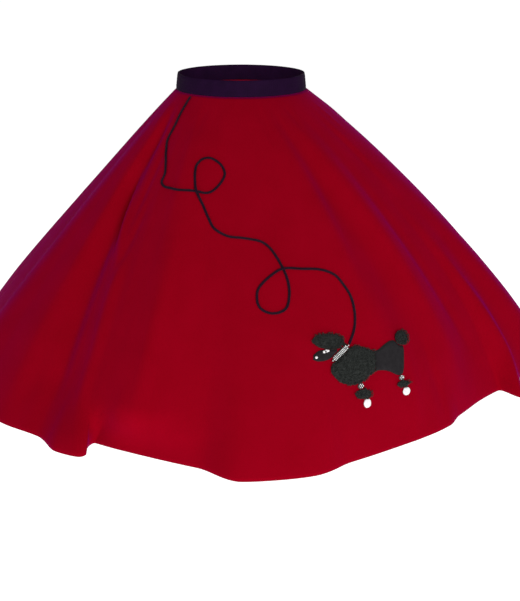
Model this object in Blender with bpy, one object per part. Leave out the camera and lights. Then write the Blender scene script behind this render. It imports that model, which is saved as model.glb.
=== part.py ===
"""A felt circle skirt with a poodle and its leash sewn on, filled out as when it is worn.

Metres, +Z up. The origin is the middle of the waist opening, half way up the waistband.
The front faces -Y. An azimuth is in degrees: 0 at the middle of the front, 90 at the side
seam at +X. "Down" is 0 at the waist seam and 1 at the hem, measured along the cloth.
"""
import math
from bisect import bisect_right
from collections import namedtuple
from functools import lru_cache

import bpy
from mathutils import Vector

MM = 0.001

# Cloth and seams
FELT = 1.6 * MM
SEAM_GAP = 0.3 * MM
SEWN_ON_GAP = 0.5 * MM          # between the skirt's facets and what is sewn on them

# Waistband: an oval ring of wide elastic, drawn in a little at its top edge
WAIST_HALF_WIDTH = 106 * MM
WAIST_HALF_DEPTH = 86 * MM
BAND_HEIGHT = 25.4 * MM
BAND_THICKNESS = 2.4 * MM
BAND_OVERHANG = 0.6 * MM        # how far the band stands out past the cloth's top edge
BAND_DRAWN_IN = 3.0 * MM
BAND_COLUMNS = 72
BAND_ROWS = 2

# The bell: the cloth's angle from the vertical, at even steps from the waist to the hem
SKIRT_LENGTH = 584 * MM
BELL_ANGLES = (49.6, 45.2, 43.1, 39.1, 30.4)
BELL_STEPS = 64
SIDE_DRIFT = 19 * MM            # the rings lie this far towards +X, half way down
HEM_DRIFT = 9 * MM              # and this far at the hem
ROWS = 15
FOLDS_FORMED = 0.18             # the folds have their full depth from this "down" on
LEANS_START = 0.86              # they begin to lean over and to tuck here
LEANS_FORMED = 1.00             # and do so fully at the hem

# Folds, in the order of their azimuths. Each line is a crest or the bottom of a valley.
# waist, middle, hem: its azimuth there, in degrees.
# out: how far it stands out from the bell (+) or lies in (-), in mm; it is 0 at the waist.
# lean: how far it is pushed over towards larger azimuths, in mm; it is 0 at the waist.
# tuck: how much further it stands out (+) or lies in (-) close to the hem, in mm.
# steps: the columns of cloth between this line and the next.
Fold = namedtuple(
    "Fold", "name waist middle hem out_middle out_hem lean_middle lean_hem tuck steps")
FOLDS = (
    Fold("left side seam", -90.0, -90.0, -90.0, -4, -12, 0, 0, 0, 4),
    Fold("left side valley", -80.0, -79.0, -79.0, -8, -20, 0, 0, 0, 6),
    Fold("left soft ridge", -70.0, -65.5, -64.0, 10, 24, 0, 0, 0, 5),
    Fold("left soft valley", -67.0, -60.5, -54.1, 6, 13, 0, 0, 0, 4),
    Fold("crest before the trough", -64.0, -54.5, -47.1, 3, 14, 0, 0, 0, 4),
    Fold("bottom of the trough", -60.0, -48.3, -37.5, -23, -14, 0, 0, 18, 4),
    Fold("top of the trough's wall", -53.0, -43.0, -34.5, -8, -9, 0, 0, 21, 4),
    Fold("top of the roll", -48.0, -38.5, -32.9, -4, -5, 0, 12, 26, 3),
    Fold("edge of the roll", -45.5, -36.2, -30.6, -2, -2, 0, 29, 19, 2),
    Fold("turn of the roll", -43.5, -34.5, -29.5, 0, 0, 0, 24, 9, 2),
    Fold("back of the roll", -41.5, -32.5, -28.6, 3, 2, 0, 10, -4, 3),
    Fold("behind the roll", -38.5, -30.0, -26.6, 6, 5, 0, -10, -22, 3),
    Fold("foot of the roll", -35.5, -27.5, -24.8, 10, 8, 0, -20, -32, 3),
    Fold("edge of the facet", -31.0, -23.3, -20.5, 17, 13, 0, 0, -34, 5),
    Fold("left front valley", -20.0, -11.0, -8.0, 6, -3, 0, 0, 0, 4),
    Fold("front crest", -10.0, -3.5, -1.0, 5, 27, 0, 0, 0, 4),
    Fold("middle valley", 2.0, 4.5, 3.4, 3, 25, 0, 0, 0, 4),
    Fold("second crest", 8.0, 12.0, 10.1, 6, 20, 0, 0, 0, 5),
    Fold("above the poodle", 12.0, 18.0, 17.6, 8, -4, 0, 0, 0, 4),
    Fold("under the poodle", 15.5, 25.0, 28.6, 9, -18, 0, 0, 0, 4),
    Fold("right front valley", 21.0, 34.0, 39.3, -9, -23, 0, 0, 0, 4),
    Fold("right low crest", 30.0, 42.5, 44.0, 1, -34, 0, 0, 0, 4),
    Fold("right hollow", 39.5, 51.5, 50.6, -11, -37, 0, 0, 0, 4),
    Fold("under the right flute", 46.0, 57.5, 56.5, -9, -27, 0, 12, 0, 6),
    Fold("right flute", 51.0, 61.5, 61.3, -2, 11, 0, -28, 0, 5),
    Fold("right crease", 58.0, 65.5, 66.0, 2, -8, 0, 0, 0, 4),
    Fold("right side crest", 74.0, 72.0, 78.0, 14, 32, 0, 0, 0, 5),
    Fold("right side seam", 90.0, 90.0, 90.0, -2, -6, 0, 0, 0, 4),
    Fold("right back valley", 101.0, 101.0, 101.0, -13, -30, 0, -6, 0, 6),
    Fold("right back crest", 117.0, 119.0, 118.0, 12, 26, 7, 12, 0, 6),
    Fold("right hip valley", 131.0, 131.0, 132.0, -12, -22, -5, -8, 0, 6),
    Fold("first back crest", 147.0, 149.0, 148.0, 9, 28, 0, 6, 0, 5),
    Fold("first back crease", 157.0, 158.0, 160.0, -3, -6, 0, 0, 0, 4),
    Fold("low back ridge", 167.0, 167.0, 170.0, 2, 4, 0, 0, 0, 4),
    Fold("middle back valley", 178.0, 179.0, 181.0, -10, -27, 0, 0, 0, 6),
    Fold("second back crest", 195.0, 197.0, 199.0, 10, 29, -6, -12, 0, 6),
    Fold("left hip valley", 211.0, 213.0, 214.0, -13, -25, 5, 9, 0, 6),
    Fold("third back crest", 229.0, 228.0, 229.0, 8, 20, 0, 0, 0, 5),
    Fold("left back crease", 243.0, 240.0, 242.0, -3, 2, 0, 0, 0, 4),
    Fold("left back ridge", 254.0, 253.0, 252.0, 2, 12, 0, 0, 0, 5),
)
LAST_SIDE_SEAM = Fold("left side seam, come round", 270.0, 270.0, 270.0, -4, -12, 0, 0, 0, 0)
RIGHT_SEAM_LINE = [fold.name for fold in FOLDS].index("right side seam")
FULL_TURN = 360.0

# The leash: a flat braid, from the waistband to the collar. Each stop is an azimuth and a
# "down" on the front panel, and how far the braid is lifted there to cross over itself.
LEASH_WIDTH = 4.4 * MM
LEASH_THICKNESS = 2.0 * MM
LEASH_STEP = 5.4 * MM
LEASH_SIDES = 6
CROSSING_LIFT = LEASH_THICKNESS + 0.6 * MM
Stop = namedtuple("Stop", "azimuth down lift", defaults=(0.0,))
LEASH_ROUTE = (
    Stop(-46.5, 0.010),
    Stop(-46.5, 0.060),
    Stop(-45.4, 0.112),
    Stop(-45.2, 0.159),
    Stop(-42.1, 0.194),
    Stop(-38.6, 0.225),
    Stop(-36.0, 0.257),
    Stop(-35.8, 0.283),
    Stop(-33.5, 0.295),
    Stop(-30.0, 0.295),
    Stop(-26.2, 0.294),
    Stop(-22.5, 0.293),
    Stop(-19.6, 0.294),
    Stop(-17.1, 0.298),
    Stop(-15.1, 0.297),
    Stop(-13.3, 0.288),
    Stop(-11.1, 0.266),
    Stop(-10.1, 0.241),
    Stop(-12.1, 0.215),
    Stop(-16.4, 0.197),
    Stop(-20.0, 0.199),
    Stop(-22.0, 0.217),
    Stop(-21.9, 0.239),
    Stop(-20.9, 0.268),
    Stop(-19.5, 0.295, CROSSING_LIFT),
    Stop(-16.3, 0.334),
    Stop(-13.8, 0.370),
    Stop(-11.6, 0.398),
    Stop(-7.5, 0.418),
    Stop(-3.0, 0.423),
    Stop(1.8, 0.432),
    Stop(4.3, 0.449),
    Stop(6.1, 0.477),
    Stop(7.4, 0.508),
    Stop(8.1, 0.538),
    Stop(8.1, 0.569),
    Stop(7.2, 0.604),
    Stop(5.3, 0.618),
    Stop(3.1, 0.618),
    Stop(1.2, 0.605),
    Stop(0.5, 0.583),
    Stop(1.0, 0.554),
    Stop(3.9, 0.525),
    Stop(7.4, 0.508, CROSSING_LIFT),
    Stop(12.3, 0.508),
    Stop(16.8, 0.513),
    Stop(20.0, 0.530),
    Stop(21.5, 0.557),
    Stop(22.5, 0.590),
    Stop(22.5, 0.625),
    Stop(21.9, 0.658),
    Stop(20.9, 0.685),
    Stop(19.4, 0.712),
)

# The poodle, laid out flat in mm: x towards the tail, y up, 0 at the middle of its body
POODLE_AZIMUTH = 20.9
POODLE_DOWN = 0.774
POODLE_TURN = -10.5             # turned clockwise, in degrees, so that it stands upright
POODLE_PATCH = 5.5              # the size of a pad's facets, in mm
PAD_EDGE = 0.35                 # a pad's edge is this part of its thickness
PAD_SMOOTHING = 2               # steps between two sections of a long pad
ROUTE_SMOOTHING = 12            # and between two stops of the leash
SHARP_EDGE = 50.0               # edges sharper than this many degrees aren't shaded smooth


def lerp(start, end, part):
    return start + (end - start) * part


def eased(part):
    """0 to 1, with a soft start and a soft end."""
    part = min(max(part, 0.0), 1.0)
    return part * part * (3 - 2 * part)


def along(down, waist, middle, hem):
    """A size that runs in a smooth curve through its values at the waist, the middle and the hem."""
    return (waist * (1 - down) * (1 - 2 * down) + middle * 4 * down * (1 - down)
            + hem * down * (2 * down - 1))


def bell_angle(down):
    step = min(down, 1.0) * (len(BELL_ANGLES) - 1)
    i = min(int(step), len(BELL_ANGLES) - 2)
    return math.radians(lerp(BELL_ANGLES[i], BELL_ANGLES[i + 1], step - i))


@lru_cache(maxsize=None)
def bell(down):
    """How far the cloth has come outwards, and how far it has dropped, without its folds."""
    piece = SKIRT_LENGTH * down / BELL_STEPS
    angles = [bell_angle(down * (i + 0.5) / BELL_STEPS) for i in range(BELL_STEPS)]
    return sum(map(math.sin, angles)) * piece, sum(map(math.cos, angles)) * piece


def fold_azimuth(fold, down):
    return along(down, fold.waist, fold.middle, fold.hem)


@lru_cache(maxsize=None)
def ring_lines(down):
    """The fold lines right round at one height, as lists of azimuths, outs and leans."""
    lines = FOLDS + (LAST_SIDE_SEAM,)
    azimuths = [fold_azimuth(fold, down) for fold in lines]
    depth = eased(down / FOLDS_FORMED) * MM
    over = eased((down - LEANS_START) / (LEANS_FORMED - LEANS_START)) * MM
    outs = [along(down, 0.0, fold.out_middle, fold.out_hem) * depth + fold.tuck * over
            for fold in lines]
    leans = [along(down, 0.0, fold.lean_middle, fold.lean_hem) * over for fold in lines]
    return azimuths, outs, leans


def smooth_slope(x, y, i):
    """The slope of a curve that has its tops and bottoms at the given points, and only there."""
    count = len(x) - 1                    # the last point is the first one again, a turn later
    before = (y[i % count] - y[(i - 1) % count]) / ((x[i % count] - x[(i - 1) % count]) % FULL_TURN)
    after = (y[(i + 1) % count] - y[i % count]) / ((x[(i + 1) % count] - x[i % count]) % FULL_TURN)
    if before * after <= 0:
        return 0.0
    return 2 * before * after / (before + after)


def smooth_value(x, y, azimuth):
    i = min(max(bisect_right(x, azimuth) - 1, 0), len(x) - 2)
    width = x[i + 1] - x[i]
    part = (azimuth - x[i]) / width
    start = smooth_slope(x, y, i) * width
    end = smooth_slope(x, y, i + 1) * width
    return ((2 * part ** 3 - 3 * part ** 2 + 1) * y[i] + (part ** 3 - 2 * part ** 2 + part) * start
            + (3 * part ** 2 - 2 * part ** 3) * y[i + 1] + (part ** 3 - part ** 2) * end)


def skirt_point(azimuth, down):
    """A point on the outer face of the skirt."""
    azimuths, outs, leans = ring_lines(down)
    out = smooth_value(azimuths, outs, azimuth)
    lean = smooth_value(azimuths, leans, azimuth)
    reach, drop = bell(down)
    turn = math.radians(azimuth)
    return Vector((
        (WAIST_HALF_WIDTH + reach + out) * math.sin(turn) + lean * math.cos(turn)
        + along(down, 0.0, SIDE_DRIFT, HEM_DRIFT),
        -(WAIST_HALF_DEPTH + reach + out) * math.cos(turn) + lean * math.sin(turn),
        -BAND_HEIGHT / 2 - SEAM_GAP - drop))


def skirt_normal(azimuth, down):
    """The direction straight out of the cloth."""
    small_turn, small_down = 0.05, 0.001
    low = min(max(down, small_down), 1 - small_down)
    around = skirt_point(azimuth + small_turn, low) - skirt_point(azimuth - small_turn, low)
    downwards = skirt_point(azimuth, low + small_down) - skirt_point(azimuth, low - small_down)
    return downwards.cross(around).normalized()


def seam_shift(down):
    """Half the gap at a side seam, as an angle."""
    return math.degrees(SEAM_GAP / 2 / (WAIST_HALF_DEPTH + bell(down)[0]))


def panel_columns(first_line, last_line):
    """A panel's columns of points, each as a fold line and the part of the way to the next."""
    columns = [(line, step / FOLDS[line].steps)
               for line in range(first_line, last_line) for step in range(FOLDS[line].steps)]
    return columns + [(last_line - 1, 1.0)]


def column_azimuths(columns, down):
    """The columns' azimuths at one height. The first and last stop short of the side seams."""
    lines = ring_lines(down)[0]
    azimuths = [lerp(lines[line], lines[line + 1], part) for line, part in columns]
    azimuths[0] += seam_shift(down)
    azimuths[-1] -= seam_shift(down)
    return azimuths


class Panel:
    """A panel's outer points and their normals, row by row from the waist to the hem."""

    def __init__(self, first_line, last_line):
        self.columns = panel_columns(first_line, last_line)
        self.downs = [row / ROWS for row in range(ROWS + 1)]
        self.azimuths = [column_azimuths(self.columns, down) for down in self.downs]
        self.points = [[skirt_point(azimuth, down) for azimuth in azimuths]
                       for azimuths, down in zip(self.azimuths, self.downs)]
        self.normals = [[skirt_normal(azimuth, down) for azimuth in azimuths]
                        for azimuths, down in zip(self.azimuths, self.downs)]

    def offset(self, distance):
        return [[point + normal * distance for point, normal in zip(*rows)]
                for rows in zip(self.points, self.normals)]

    def point_on(self, azimuth, down, out):
        """A point at a distance out from the panel's facets, and the direction out of the cloth."""
        azimuths = column_azimuths(self.columns, down)
        column = min(max(bisect_right(azimuths, azimuth) - 1, 0), len(azimuths) - 2)
        row = min(int(down * ROWS), ROWS - 1)
        across = (azimuth - azimuths[column]) / (azimuths[column + 1] - azimuths[column])
        below = down * ROWS - row
        near_corner = (row, column + 1) if across >= below else (row + 1, column)
        corners = ((row, column, 1 - max(across, below)), near_corner + (abs(across - below),),
                   (row + 1, column + 1, min(across, below)))
        point = sum((self.points[r][c] * share for r, c, share in corners), Vector())
        normal = sum((self.normals[r][c] * share for r, c, share in corners), Vector())
        normal.normalize()
        return point + normal * out, normal


def make_material(name, colour, roughness, metallic=0.0):
    material = bpy.data.materials.new(name)
    material.use_nodes = True
    shader = material.node_tree.nodes["Principled BSDF"]
    shader.inputs["Base Color"].default_value = (*colour, 1.0)
    shader.inputs["Roughness"].default_value = roughness
    shader.inputs["Metallic"].default_value = metallic
    return material


def add_object(name, points, faces, material):
    mesh = bpy.data.meshes.new(name)
    mesh.from_pydata([tuple(point) for point in points], [], faces)
    mesh.shade_smooth()
    mesh.set_sharp_from_angle(angle=math.radians(SHARP_EDGE))
    mesh.materials.append(material)
    bpy.data.objects.new(name, mesh)
    bpy.context.scene.collection.objects.link(bpy.data.objects[name])


def wall_solid(name, outer, inner, material, closed=False):
    """A closed solid between two grids of points. Seen from outside, rows run down and
    columns to the right. In a closed one the last column joins the first."""
    rows, columns = len(outer), len(outer[0])
    points = [point for grid in (outer, inner) for row in grid for point in row]
    spans = columns if closed else columns - 1

    def index(side, row, column):
        return side * rows * columns + row * columns + column % columns

    faces = []
    for row in range(rows - 1):
        for column in range(spans):
            corners = ((row, column), (row + 1, column), (row + 1, column + 1), (row, column + 1))
            outside = [index(0, *corner) for corner in corners]
            inside = [index(1, *corner) for corner in corners]
            faces += [(outside[0], outside[1], outside[2]), (outside[0], outside[2], outside[3])]
            faces += [(inside[0], inside[2], inside[1]), (inside[0], inside[3], inside[2])]
    for column in range(spans):
        for row, (start, end) in ((0, (column, column + 1)), (rows - 1, (column + 1, column))):
            faces.append((index(0, row, start), index(0, row, end),
                          index(1, row, end), index(1, row, start)))
    if not closed:
        for row in range(rows - 1):
            for column, (start, end) in ((0, (row + 1, row)), (columns - 1, (row, row + 1))):
                faces.append((index(0, start, column), index(0, end, column),
                              index(1, end, column), index(1, start, column)))
    add_object(name, points, faces, material)


def make_panel(name, panel, material):
    wall_solid(name, panel.points, panel.offset(-FELT), material)


def band_grid(outwards):
    """The waistband's rings, at a distance out from the top edge of the cloth."""
    grid = []
    for row in range(BAND_ROWS + 1):
        part = row / BAND_ROWS
        drawn_in = BAND_DRAWN_IN * (1 - part)
        ring = []
        for column in range(BAND_COLUMNS):
            turn = math.tau * column / BAND_COLUMNS
            ring.append(Vector(((WAIST_HALF_WIDTH + outwards - drawn_in) * math.sin(turn),
                                -(WAIST_HALF_DEPTH + outwards - drawn_in) * math.cos(turn),
                                BAND_HEIGHT * (0.5 - part))))
        grid.append(ring)
    return grid


def make_waistband(material):
    wall_solid("waistband", band_grid(BAND_OVERHANG), band_grid(BAND_OVERHANG - BAND_THICKNESS),
               material, closed=True)


def curve_through(points, steps):
    """Points along a smooth curve through the given ones, which are tuples of numbers."""
    ends = (points[0],) + tuple(points) + (points[-1],)
    curve = []
    for i in range(1, len(ends) - 2):
        before, start, end, after = ends[i - 1:i + 3]
        for step in range(steps):
            part = step / steps
            curve.append(tuple(
                0.5 * (2 * b + (c - a) * part + (2 * a - 5 * b + 4 * c - d) * part ** 2
                       + (3 * b - a - 3 * c + d) * part ** 3)
                for a, b, c, d in zip(before, start, end, after)))
    return curve + [tuple(points[-1])]


def even_stops(panel, route, spacing):
    """The stops of a route on a panel, at even distances along it."""
    stops = curve_through(route, ROUTE_SMOOTHING)
    places = [panel.point_on(azimuth, down, 0.0)[0] for azimuth, down, _lift in stops]
    lengths = [0.0]
    for here, there in zip(places, places[1:]):
        lengths.append(lengths[-1] + (there - here).length)
    count = round(lengths[-1] / spacing)
    even = []
    for i in range(count + 1):
        wanted = lengths[-1] * i / count
        j = min(max(bisect_right(lengths, wanted) - 1, 0), len(stops) - 2)
        part = (wanted - lengths[j]) / (lengths[j + 1] - lengths[j])
        even.append(tuple(lerp(a, b, part) for a, b in zip(stops[j], stops[j + 1])))
    return even


def make_leash(panel, material):
    """An oval tube that lies on the panel along its route."""
    stops = even_stops(panel, LEASH_ROUTE, LEASH_STEP)
    middles = [panel.point_on(azimuth, down, SEWN_ON_GAP + LEASH_THICKNESS / 2 + max(lift, 0.0))
               for azimuth, down, lift in stops]
    points = []
    for i, (middle, normal) in enumerate(middles):
        ahead = middles[min(i + 1, len(middles) - 1)][0] - middles[max(i - 1, 0)][0]
        side = ahead.cross(normal).normalized()
        for k in range(LEASH_SIDES):
            turn = math.tau * (k + 0.5) / LEASH_SIDES
            points.append(middle + side * (LEASH_WIDTH / 2 * math.cos(turn))
                          + normal * (LEASH_THICKNESS / 2 * math.sin(turn)))
    faces = []
    for i in range(len(middles) - 1):
        for k in range(LEASH_SIDES):
            here, there = i * LEASH_SIDES, (i + 1) * LEASH_SIDES
            k_next = (k + 1) % LEASH_SIDES
            faces.append((here + k, there + k, there + k_next, here + k_next))
    last = (len(middles) - 1) * LEASH_SIDES
    faces.append(tuple(range(LEASH_SIDES)))
    faces.append(tuple(last + k for k in reversed(range(LEASH_SIDES))))
    add_object("leash", points, faces, material)


def on_poodle(panel, x, y, out):
    """A point of the poodle's flat layout, in mm, laid on the panel."""
    turn = math.radians(POODLE_TURN)
    across = x * math.cos(turn) - y * math.sin(turn)
    upwards = x * math.sin(turn) + y * math.cos(turn)
    ring_radius = WAIST_HALF_DEPTH + bell(POODLE_DOWN)[0]
    azimuth = POODLE_AZIMUTH + math.degrees(across * MM / ring_radius)
    return panel.point_on(azimuth, POODLE_DOWN - upwards * MM / SKIRT_LENGTH, out)[0]


def pad_solid(name, panel, flat_grid, thickness, material):
    """A pad of felt on the panel, thinner along its edge. The grid holds flat x, y places."""
    rows, columns = len(flat_grid), len(flat_grid[0])
    outer, inner = [], []
    for row, places in enumerate(flat_grid):
        edge_row = row in (0, rows - 1)
        heights = [thickness * (PAD_EDGE if edge_row or column in (0, columns - 1) else 1.0)
                   for column in range(columns)]
        outer.append([on_poodle(panel, x, y, SEWN_ON_GAP + height)
                      for (x, y), height in zip(places, heights)])
        inner.append([on_poodle(panel, x, y, SEWN_ON_GAP) for x, y in places])
    wall_solid(name, outer, inner, material)


# A long pad's section: its place along the pad, and its lower and upper edge.
Section = namedtuple("Section", "at low high")
# An oval pad: its middle, its half width and half height, and how far it is turned.
Oval = namedtuple("Oval", "x y half_width half_height turn")


def long_pad_grid(sections):
    """The flat grid of a pad that is given by its sections, from left to right."""
    smooth = curve_through(sections, PAD_SMOOTHING)
    widest = max(high - low for _at, low, high in smooth)
    steps = max(3, round(widest / POODLE_PATCH))
    return [[(at, lerp(high, low, i / steps)) for at, low, high in smooth]
            for i in range(steps + 1)]


def oval_pad_grid(oval):
    """The flat grid of an oval pad: a square grid pushed in to a circle, then stretched."""
    steps = max(4, 2 * round(oval.half_width / POODLE_PATCH))
    turn = math.radians(oval.turn)
    grid = []
    for row in range(steps + 1):
        v = 1 - 2 * row / steps
        places = []
        for column in range(steps + 1):
            u = 2 * column / steps - 1
            x = u * math.sqrt(1 - v * v / 2) * oval.half_width
            y = v * math.sqrt(1 - u * u / 2) * oval.half_height
            places.append((oval.x + x * math.cos(turn) - y * math.sin(turn),
                           oval.y + x * math.sin(turn) + y * math.cos(turn)))
        grid.append(places)
    return grid


MANE = (
    Section(-44.5, -6.0, 1.5),
    Section(-40.0, -12.5, 6.2),
    Section(-34.0, -18.6, 10.0),
    Section(-28.0, -22.2, 14.8),
    Section(-22.0, -24.6, 21.0),
    Section(-17.0, -25.6, 27.2),
    Section(-9.0, -25.6, 30.0),
    Section(0.0, -22.9, 29.6),
    Section(8.0, -18.0, 27.4),
    Section(15.0, -11.5, 25.0),
    Section(22.0, -6.6, 22.8),
)
HIPS = (
    Section(22.6, -6.5, 22.8),
    Section(30.0, -6.2, 25.8),
    Section(38.0, -6.8, 31.5),
    Section(46.0, -9.2, 35.8),
    Section(53.0, -13.0, 37.4),
    Section(59.5, -15.6, 36.3),
    Section(64.5, -15.5, 31.0),
    Section(69.0, -12.0, 28.0),
    Section(73.0, 6.0, 26.8),
    Section(76.5, 22.0, 26.0),
)
HEAD = (
    Section(-70.0, 9.6, 16.0),
    Section(-64.5, 8.2, 21.8),
    Section(-58.0, 8.4, 24.4),
    Section(-51.0, 10.2, 24.9),
    Section(-45.5, 13.0, 25.1),
    Section(-40.0, 18.2, 25.6),
    Section(-35.5, 23.0, 25.9),
)
LONG_PADS = (
    ("poodle_mane", MANE, 3.0, "poodle"),
    ("poodle_hips", HIPS, 2.0, "poodle"),
    ("poodle_head", HEAD, 2.0, "poodle"),
)
OVAL_PADS = (
    ("poodle_topknot", Oval(-48.7, 36.9, 23.8, 11.0, 1.0), 3.0, "poodle"),
    ("poodle_collar", Oval(-31.0, 19.9, 16.3, 4.2, 42.5), 2.4, "silver"),
    ("poodle_tail", Oval(76.0, 38.0, 14.5, 10.8, -4.0), 3.0, "poodle"),
    ("poodle_anklet_front", Oval(0.0, -28.1, 4.4, 4.4, 0.0), 1.6, "silver"),
    ("poodle_anklet_hind", Oval(64.5, -20.2, 4.4, 3.9, 0.0), 1.6, "silver"),
    ("poodle_cuff_front", Oval(4.0, -39.9, 11.8, 6.9, 0.0), 3.0, "poodle"),
    ("poodle_cuff_hind", Oval(67.0, -29.7, 11.0, 4.8, 0.0), 3.0, "poodle"),
    ("poodle_paw_front", Oval(10.6, -53.2, 5.3, 6.7, 0.0), 1.6, "paw"),
    ("poodle_paw_hind", Oval(72.3, -41.2, 6.4, 6.2, 0.0), 1.6, "paw"),
)


def make_poodle(panel, materials):
    for name, sections, thickness, slot in LONG_PADS:
        pad_solid(name, panel, long_pad_grid(sections), thickness * MM, materials[slot])
    for name, oval, thickness, slot in OVAL_PADS:
        pad_solid(name, panel, oval_pad_grid(oval), thickness * MM, materials[slot])


def main():
    for old in list(bpy.data.objects):
        bpy.data.objects.remove(old, do_unlink=True)
    materials = {
        "felt": make_material("felt", (0.24, 0.0004, 0.010), 0.95),
        "band": make_material("band", (0.009, 0.003, 0.020), 0.7),
        "leash": make_material("leash", (0.012, 0.006, 0.022), 0.5),
        "poodle": make_material("poodle", (0.024, 0.027, 0.026), 0.95),
        "silver": make_material("silver", (0.55, 0.56, 0.54), 0.35, 0.8),
        "paw": make_material("paw", (0.80, 0.78, 0.78), 0.8),
    }
    front = Panel(0, RIGHT_SEAM_LINE)
    back = Panel(RIGHT_SEAM_LINE, len(FOLDS))
    make_panel("skirt_front", front, materials["felt"])
    make_panel("skirt_back", back, materials["felt"])
    make_waistband(materials["band"])
    make_leash(front, materials["leash"])
    make_poodle(front, materials)


main()
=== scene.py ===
"""A red felt circle skirt, filled out as when it is worn, with a poodle and its leash sewn on.

Metres, +Z up. The origin is the middle of the waist opening and the front faces -Y. An azimuth
is in degrees: 0 at the middle of the front, 90 at the side seam at +X. "Down" is 0 at the
waist seam and 1 at the hem, measured along the cloth.
"""
import math
import random
from bisect import bisect_right
from collections import namedtuple
from functools import lru_cache

import bmesh
import bpy
from mathutils import Matrix, Vector, noise


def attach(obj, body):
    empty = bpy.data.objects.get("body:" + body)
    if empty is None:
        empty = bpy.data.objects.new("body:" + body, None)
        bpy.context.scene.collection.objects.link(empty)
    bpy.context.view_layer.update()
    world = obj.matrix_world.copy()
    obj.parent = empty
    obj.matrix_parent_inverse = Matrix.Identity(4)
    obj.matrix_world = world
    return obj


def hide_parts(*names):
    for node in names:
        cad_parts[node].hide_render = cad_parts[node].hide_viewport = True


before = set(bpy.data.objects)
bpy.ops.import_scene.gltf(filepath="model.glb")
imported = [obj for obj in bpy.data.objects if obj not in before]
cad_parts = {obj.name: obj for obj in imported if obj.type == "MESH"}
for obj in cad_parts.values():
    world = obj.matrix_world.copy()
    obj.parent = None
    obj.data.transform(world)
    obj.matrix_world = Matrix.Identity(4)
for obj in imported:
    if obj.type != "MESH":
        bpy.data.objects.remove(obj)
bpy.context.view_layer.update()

MM = 0.001
BODY = "root"

# The camera, the floor and the lights
PICTURE_HEIGHT = 601
FOCAL_PIXELS = 981.0
SENSOR = 36.0
OFF_CENTRE_PIXELS = 18.9        # the skirt's middle lies this far left of the picture's
CAMERA_PLACE = (0.0, -1.62, 0.263)
CAMERA_DOWN = 21.89             # how far the camera looks down, in degrees
FLOOR_LEVEL = -1.05
FLOOR_HALF = 30.0
FLOOR_COLOUR = (0.92, 0.92, 0.93, 1.0)
FLOOR_GLOW = 0.74
SKY_COLOUR = (0.95, 0.94, 0.95, 1.0)
SKY_STRENGTH = 0.32
WHITE_LIGHT = (1.0, 1.0, 1.0, 1.0)
Lamp = namedtuple("Lamp", "name place aim size power")
LAMPS = (
    Lamp("key", (0.80, -2.95, 0.52), (0.05, 0.0, -0.30), 1.1, 58.0),
    Lamp("fill", (-2.6, -1.2, 0.5), (0.0, 0.0, -0.25), 2.0, 9.0),
    Lamp("back", (0.4, 2.6, 1.6), (0.0, 0.0, -0.2), 2.2, 24.0),
)

# Cloth and seams
FELT = 1.6 * MM
SEAM_GAP = 0.3 * MM
SEWN_ON_GAP = 0.5 * MM          # between the skirt's facets and what is sewn on them

# Waistband: an oval ring of wide elastic, drawn in a little at its top edge
WAIST_HALF_WIDTH = 106 * MM
WAIST_HALF_DEPTH = 86 * MM
BAND_HEIGHT = 25.4 * MM
BAND_THICKNESS = 2.4 * MM
BAND_OVERHANG = 0.6 * MM        # how far the band stands out past the cloth's top edge
BAND_DRAWN_IN = 3.0 * MM

# The bell: the cloth's angle from the vertical, at even steps from the waist to the hem
SKIRT_LENGTH = 584 * MM
BELL_ANGLES = (49.6, 45.2, 43.1, 39.1, 30.4)
BELL_STEPS = 64
SIDE_DRIFT = 19 * MM            # the rings lie this far towards +X, half way down
HEM_DRIFT = 9 * MM              # and this far at the hem
FOLDS_FORMED = 0.18             # the folds have their full depth from this "down" on
LEANS_START = 0.86              # they begin to lean over and to tuck here
LEANS_FORMED = 1.00             # and do so fully at the hem


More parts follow.
